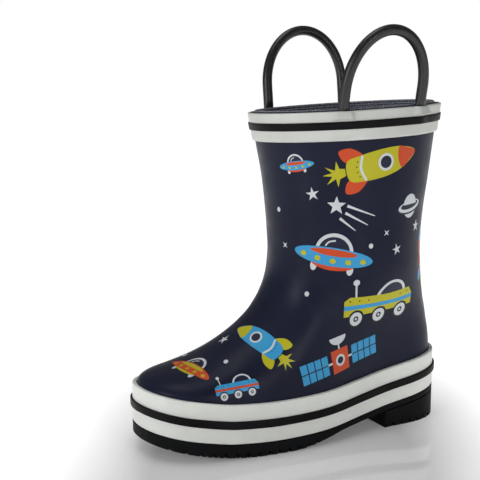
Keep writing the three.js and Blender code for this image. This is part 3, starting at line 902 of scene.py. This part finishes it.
def wheel(cx, cy, radius):
    return [
        ("black", oval(cx, cy, radius, radius)),
        ("white", oval(cx, cy, radius * 0.76, radius * 0.76)),
        ("black", oval(cx, cy, radius * 0.32, radius * 0.32, count=16)),
        ("white", oval(cx, cy, radius * 0.15, radius * 0.15, count=10)),
    ]


def rivets(points, radius=0.45):
    return [("black", oval(x, y, radius, radius, count=6)) for x, y in points]


def saucer(main, trim):
    """Flying saucer in side view: a disc with a row of lamps and a glass dome."""
    lamp = "yellow" if main != "yellow" else "white"
    lamps = [(-15, -0.6), (-7.6, -1.6), (0, -2), (7.6, -1.6), (15, -0.6)]
    return [
        ("white", oval(-9, -5.4, 1.6, 2.6)),
        ("white", oval(9, -5.4, 1.6, 2.6)),
        ("white", oval(0, 2.4, 9.4, 9.4, start=0, stop=180)),
        ("navy", oval(0, 2.4, 7.8, 7.6, start=0, stop=180)),
        ("white", stroke([(-4.6, 5), (-3, 7.2), (0, 8.2)], 0.8, 0.8)),
        (trim, oval(0, -3, 11, 3.6)),
        (main, oval(0, 0, 20, 4.6)),
        (trim, oval(0, 2.2, 11.6, 1.7)),
        *[(lamp, oval(x, y, 1.5, 1.3, count=12)) for x, y in lamps],
    ]


def rover(main, trim):
    """Moon rover in side view: a box body on three wheels, with a cabin and an aerial."""
    return [
        ("white", stroke([(-14, 4), (-15, 12)], 0.9, 0.9)),
        ("white", oval(-15, 12.6, 1.6, 1.6, count=12)),
        ("white", oval(6, 3.6, 9, 8.2, start=0, stop=180)),
        ("navy", oval(6, 4.2, 7.2, 6.2, start=0, stop=180)),
        (main, np.array([(-20, -4.6), (-20, 3), (-17, 5), (18, 5), (21, 1), (21, -4.6)])),
        (trim, box(-20, -1.4, 21, 0.8)),
        *rivets([(x, 2.9) for x in (-17, -12, -7, 12, 17)]),
        *(shape for x in (-13, 0.4, 13.8) for shape in wheel(x, -6.4, 4.6)),
    ]


def satellite(main, panel):
    """Satellite: a box body with a dish and a ruled panel on each side."""
    shapes = [("white", box(-22, -0.5, 22, 0.5))]
    for side in (-1, 1):
        near, far = side * 8, side * 24
        shapes.append((panel, box(near, -5, far, 5)))
        for k in (1, 2, 3):
            x = mix(near, far, k / 4)
            shapes.append(("navy", box(x - 0.3, -5, x + 0.3, 5)))
        shapes.append(("navy", box(near, -0.3, far, 0.3)))
    return [
        *shapes,
        ("white", stroke([(0, 5), (0, 9)], 0.9, 0.9)),
        ("white", oval(0, 12.4, 5, 4, start=180, stop=360)),
        (main, box(-5.4, -6, 5.4, 6)),
        ("white", oval(0, 0, 3, 3)),
        ("navy", oval(0, 0, 1.9, 1.9, count=16)),
    ]


def rocket(main, trim):
    """Upright rocket with a porthole and side fins."""
    return [
        ("yellow", flame(0, -15.6, 9, 8, 270)),
        (trim, curved([(-4.4, -6), (-9.6, -11), (-9.4, -17), (-4, -14.6)])),
        (trim, curved([(4.4, -6), (9.6, -11), (9.4, -17), (4, -14.6)])),
        (main, curved([
            (0, 21), (-4.6, 13), (-6.2, 3), (-5.8, -8), (-4, -14.4), (4, -14.4), (5.8, -8), (6.2, 3),
            (4.6, 13),
        ])),
        (trim, curved([(0, 21), (-3.2, 16), (-4.8, 11.6), (0, 10.2), (4.8, 11.6), (3.2, 16)])),
        ("white", oval(0, 3.6, 3.9, 3.9)),
        ("navy", oval(0, 3.6, 2.8, 2.8, count=20)),
        ("white", stroke([(-5.6, -7), (0, -8.6), (5.6, -7)], 1.1, 1.1)),
        *rivets([(-3.4, -9.6), (-1.2, -10.3), (1.2, -10.3), (3.4, -9.6)], 0.35),
    ]


def planet():
    return [
        ("white", oval(0, 0, 6.0, 6.9)),
        ("navy", oval(0, -0.4, 10.8, 4.0, 10)),
        ("white", oval(0, -0.1, 10.0, 3.3, 10)),
        ("navy", oval(0, 0.5, 8.2, 2.1, 10)),
        ("white", oval(0, 0, 6.0, 6.9, start=12, stop=176)),
    ]


def comet():
    """Shooting star with three straight tails."""
    return [
        ("white", star(-8, 5, 5.4)),
        ("white", stroke([(-2, 5), (14, -1)], 1.6, 0.4)),
        ("white", stroke([(-3, 1), (10, -6)], 1.6, 0.4)),
        ("white", stroke([(-6, -2), (3, -9)], 1.6, 0.4)),
    ]


def small_star(radius):
    return [("white", star(0, 0, radius, waist=0.36))]


def spark(radius, turn=45.0):
    return [("white", star(0, 0, radius, turn, points=4, waist=0.28))]


def dot(radius):
    return [("white", oval(0, 0, radius, radius * 1.1, count=14))]


# ---- laying the print on

EDGE_STEP = 2.4
INK_TOP, INK_FOOT = 0.11, -0.12  # the ink film, out from the shell's face


def inside(points, outline):
    """Which points lie inside a closed outline."""
    x, y = points[:, 0], points[:, 1]
    hit = np.zeros(len(points), bool)
    x1, y1 = outline[-1]
    for x2, y2 in outline:
        crosses = (y1 > y) != (y2 > y)
        if y1 != y2:
            hit ^= crosses & (x < (x1 - x2) * (y - y2) / (y1 - y2) + x2)
        x1, y1 = x2, y2
    return hit


def flat_pieces(shapes):
    """Cuts overlapping shapes into one layer of triangles, each with its top colour."""
    points, edges = [], []
    for _, outline in shapes:
        first = len(points)
        for a, b in zip(outline, np.roll(outline, -1, axis=0)):
            steps = max(1, math.ceil(np.linalg.norm(b - a) / EDGE_STEP))
            points += [Vector(mix(a, b, k / steps)) for k in range(steps)]
        last = len(points)
        edges += [(k, k + 1) for k in range(first, last - 1)] + [(last - 1, first)]
    everything = np.vstack([outline for _, outline in shapes])
    (x0, y0), (x1, y1) = everything.min(axis=0), everything.max(axis=0)
    grid = np.array([
        (x, y) for x in np.arange(x0, x1, EDGE_STEP) for y in np.arange(y0, y1, EDGE_STEP)
    ]) + 0.013
    covered = np.zeros(len(grid), bool)
    for _, outline in shapes:
        covered |= inside(grid, outline)
    points += [Vector(p) for p in grid[covered]]
    verts, _, faces, *_ = delaunay_2d_cdt(points, edges, [], 0, 1e-4)
    verts = np.array([tuple(v) for v in verts])
    faces = np.array([f for f in faces if len(f) == 3])
    middles = verts[faces].mean(axis=1)
    color = np.full(len(faces), -1)
    names = sorted({name for name, _ in shapes})
    for name, outline in shapes:
        color[inside(middles, outline)] = names.index(name)
    kept = color >= 0
    return verts, faces[kept], color[kept], names


class Skin:
    """The shell's outer face, for walking along it."""

    def __init__(self, grid, normals):
        columns, rows = grid.shape[:2]
        self.points = grid.reshape(-1, 3)
        self.normals = normals.reshape(-1, 3)
        self.faces = [
            (i * rows + j, (i + 1) % columns * rows + j, (i + 1) % columns * rows + j + 1, i * rows + j + 1)
            for i in range(columns) for j in range(rows - 1)
        ]
        self.tree = BVHTree.FromPolygons([tuple(p) for p in self.points], self.faces)

    def nearest(self, point):
        """The nearest place on the skin and its smooth normal."""
        place, _, face, _ = self.tree.find_nearest(point)
        corners = list(self.faces[face])
        gaps = np.linalg.norm(self.points[corners] - np.array(place), axis=1)
        weights = 1 / (gaps + 0.05) ** 2
        normal = (self.normals[corners] * weights[:, None]).sum(axis=0)
        return place, Vector(normal).normalized()

    def walk(self, start, normal, right, up, u, v, stride=4.0):
        """Goes u along right and v along up, keeping to the skin."""
        length = math.hypot(u, v)
        if length < 1e-6:
            return start, normal
        heading = (right * u + up * v) / length
        steps = max(1, math.ceil(length / stride))
        place = start
        for _ in range(steps):
            heading = (heading - normal * heading.dot(normal)).normalized()
            place, normal = self.nearest(place + heading * (length / steps))
        return place, normal


def printed(name, skin, where, shapes, tilt, size, mirror):
    """Lays a drawing on the shell with its middle at a point and its top towards the rim."""
    wide = -size if mirror else size
    shapes = [(color, outline * [wide, size]) for color, outline in shapes]
    verts, faces, color, names = flat_pieces(shapes)
    start, normal = skin.nearest(Vector(where))
    upright = Vector((0, 0, 1))
    up = (upright - normal * upright.dot(normal)).normalized()
    right = up.cross(normal)
    c, s = math.cos(math.radians(tilt)), math.sin(math.radians(tilt))
    right, up = right * c + up * s, up * c - right * s
    used = np.unique(faces)
    order = {int(old): new for new, old in enumerate(used)}
    walked = [skin.walk(start, normal, right, up, *verts[k]) for k in used]
    base = FOXING_HEIGHT + 0.25
    heights = np.array([place[2] - float(sole_z(place[1])) for place, _ in walked])
    faces = np.array([[order[int(k)] for k in f] for f in faces])
    shown = (heights[faces] > base).all(axis=1)
    faces, color = faces[shown], color[shown]
    count = len(used)
    top = np.array([place + n * INK_TOP for place, n in walked])
    foot = np.array([place + n * INK_FOOT for place, n in walked])
    sides = {}
    for f, shade in zip(faces, color):
        for a, b in ((f[0], f[1]), (f[1], f[2]), (f[2], f[0])):
            if (b, a) in sides:
                del sides[(b, a)]
            else:
                sides[(a, b)] = shade
    all_faces = [tuple(f) for f in faces] + [tuple(f[::-1] + count) for f in faces]
    all_faces += [(b, a, a + count, b + count) for a, b in sides]
    shades = [*color, *color, *sides.values()]
    obj = new_object(name, placed(np.vstack([top, foot])), all_faces, [INKS[n] for n in names], sharp=0)
    obj.data.polygons.foreach_set("material_index", np.array(shades, np.int32))
    normals = np.array([tuple(n) for _, n in walked])
    obj.data.normals_split_custom_set_from_vertices(np.vstack([normals, normals]).tolist())
    bm = bmesh.new()
    bm.from_mesh(obj.data)
    loose = [v for v in bm.verts if not v.link_faces]
    bmesh.ops.delete(bm, geom=loose, context="VERTS")
    bm.to_mesh(obj.data)
    bm.free()
    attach(obj, "boot")
    return obj


PRINT = [
    # name, drawing, middle in mm, tilt in degrees, size; those named _medial are mirrored
    ("rocket_high", rocket("yellow", "red"), (44, 26, 159), -76, 1.25),
    ("saucer_rim", saucer("blue", "red"), (22, -13, 158), 8, 0.55),
    ("comet", comet(), (39, 12, 131), 0, 1.0),
    ("planet", planet(), (41, 52, 134), 0, 1.0),
    ("saucer_ankle", saucer("blue", "red"), (31, 6, 107), -8, 1.15),
    ("rocket_rear", rocket("red", "blue"), (24, 70, 104), 18, 0.85),
    ("rover_side", rover("yellow", "blue"), (34, 36, 78), 4, 1.2),
    ("satellite_low", satellite("red", "blue"), (34, 12, 47), 12, 1.15),
    ("rocket_instep", rocket("blue", "yellow"), (20, -34, 61), 60, 0.95),
    ("saucer_toe", saucer("red", "yellow"), (8, -72, 48), -10, 0.85),
    ("rover_toe", rover("blue", "red"), (32, -54, 39.5), 6, 0.6),
    ("star_a", small_star(4.0), (30, -8, 142), 10, 1.0),
    ("star_b", small_star(3.6), (33, 58, 122), 0, 1.0),
    ("star_c", small_star(3.4), (40, 42, 110), 15, 1.0),
    ("star_d", small_star(3.6), (0, -46, 56), 0, 1.0),
    ("spark_a", spark(2.2), (42, 34, 120), 0, 1.0),
    ("spark_b", spark(2.2), (12, -17, 112), 0, 1.0),
    ("dot_a", dot(1.3), (43, 24, 113), 0, 1.0),
    ("dot_b", dot(1.3), (8, -18, 132), 0, 1.0),
    ("dot_c", dot(1.3), (26, -8, 86), 0, 1.0),
    ("dot_d", dot(1.3), (18, -54, 50), 0, 1.0),
    # medial side and back, which the photograph doesn't show
    ("rover_medial", rover("red", "yellow"), (-44, 32, 158), -3, 1.0),
    ("comet_medial", comet(), (-38, 12, 130), 0, 1.0),
    ("planet_medial", planet(), (-42, 44, 128), 0, 1.0),
    ("saucer_medial", saucer("yellow", "blue"), (-40, 30, 98), 6, 1.0),
    ("rocket_medial", rocket("blue", "red"), (-31, 26, 64), 70, 0.95),
    ("satellite_medial", satellite("yellow", "red"), (-33, -26, 45), -8, 0.7),
    ("rocket_back", rocket("blue", "red"), (3, 82, 148), 0, 0.95),
    ("satellite_back", satellite("red", "blue"), (-4, 84, 72), 12, 0.8),
    ("star_e", small_star(3.8), (-22, -14, 158), 0, 1.0),
    ("star_f", small_star(3.6), (-30, 68, 112), 10, 1.0),
    ("spark_c", spark(2.2), (-30, -6, 112), 0, 1.0),
    ("dot_e", dot(1.5), (-20, -20, 84), 0, 1.0),
    ("dot_f", dot(1.5), (-14, -66, 48), 0, 1.0),
    ("dot_g", dot(1.4), (-24, 70, 168), 0, 1.0),
]


# ---- stage, light and camera

CAMERA_PLACE = (0.4945, -0.2650, 0.1969)  # metres
CAMERA_PITCH, CAMERA_TURN = 8.52, 64.93  # degrees, down and round from the toe
CAMERA_LENS = 73.2
GLOW_START, GLOW_END = 0.12, 0.24  # metres from the middle of the painted shadow round the boot, before stretching
GLOW_LOW, GLOW_HIGH = 0.1, 0.88
WORLD_LIGHT = 0.2

def build_stage():
    """A glossy white floor that glows a little away from the boot, as if lit from below: painted light, with
    a painted shadow round the boot where it glows least.
    """
    mesh = bpy.data.meshes.new("floor")
    bm = bmesh.new()
    bmesh.ops.create_grid(bm, x_segments=8, y_segments=8, size=6)
    bm.to_mesh(mesh)
    bm.free()
    floor = bpy.data.objects.new("floor", mesh)
    bpy.context.scene.collection.objects.link(floor)
    look, tree, shader = material(
        "Glossy_white_floor", (0.8, 0.8, 0.8), 0.12, Emission_Color=(1, 1, 1, 1)
    )
    place = place_of(tree)
    gloss = spread(tree, noise(tree, place, 3, 2), 0.3, 0.7, 0.05, 0.08)
    tree.links.new(gloss, shader.inputs["Roughness"])
    around = add_node(tree, "ShaderNodeMapping", vector_type="TEXTURE")
    around.inputs["Location"].default_value = (0.06, -0.035, 0)
    around.inputs["Rotation"].default_value = (0, 0, math.radians(-28.2))
    around.inputs["Scale"].default_value = (1.5, 0.6, 1)
    tree.links.new(place, around.inputs["Vector"])
    far = add_node(tree, "ShaderNodeVectorMath", operation="LENGTH")
    tree.links.new(around.outputs["Vector"], far.inputs[0])
    # Painted light: the floor's emission rises with distance from the boot, and the low glow round the boot
    # is a painted shadow.
    glow = spread(tree, far.outputs["Value"], GLOW_START, GLOW_END, GLOW_LOW, GLOW_HIGH)
    tree.links.new(glow, shader.inputs["Emission Strength"])
    mesh.materials.append(look)


def area_light(name, place, target, size, power, spread_angle=180):
    light = bpy.data.lights.new(name, "AREA")
    light.shape = "SQUARE"
    light.size = size
    light.energy = power
    light.spread = math.radians(spread_angle)
    obj = bpy.data.objects.new(name, light)
    obj.location = place
    obj.rotation_euler = (Vector(target) - Vector(place)).to_track_quat("-Z", "Y").to_euler()
    bpy.context.scene.collection.objects.link(obj)


def build_light():
    """A white studio: what the camera sees of it is brighter than what it lights the boot with."""
    world = bpy.data.worlds.new("Studio")
    world.use_nodes = True
    tree = world.node_tree
    background = tree.nodes["Background"]
    background.inputs["Color"].default_value = (1, 1, 1, 1)
    rays = tree.nodes.new("ShaderNodeLightPath")
    level = spread(tree, rays.outputs["Is Camera Ray"], 0, 1, WORLD_LIGHT, 1.0)
    tree.links.new(level, background.inputs["Strength"])
    bpy.context.scene.world = world
    middle = (0, 0, 0.1)
    area_light("Key", (0.3, -1.05, 0.4), middle, 0.45, 3.8)
    area_light("Top", (-0.1, -0.2, 1.2), middle, 0.6, 3.2)
    area_light("Side", (1.0, 0.1, 0.3), (0.05, 0.05, 0.0), 0.3, 0.12, 36)


def build_camera():
    camera = bpy.data.cameras.new("Camera")
    camera.sensor_width = 36
    camera.lens = CAMERA_LENS
    camera.clip_start = 0.05
    obj = bpy.data.objects.new("Camera", camera)
    obj.location = CAMERA_PLACE
    obj.rotation_euler = (math.radians(90 - CAMERA_PITCH), 0, math.radians(CAMERA_TURN))
    bpy.context.scene.collection.objects.link(obj)
    bpy.context.scene.camera = obj
    bpy.context.scene.view_settings.view_transform = "Standard"


build_camera()
build_light()
build_stage()
skin = Skin(*build_shell())
build_lining()
build_foxing()
build_sole()
build_collar()
build_handle("lateral", 1, LATERAL_HANDLE)
build_handle("medial", -1, MEDIAL_HANDLE)
for motif, drawing, middle, tilt, size in PRINT:
    printed(f"print_{motif}", skin, middle, drawing, tilt, size, motif.endswith("_medial"))
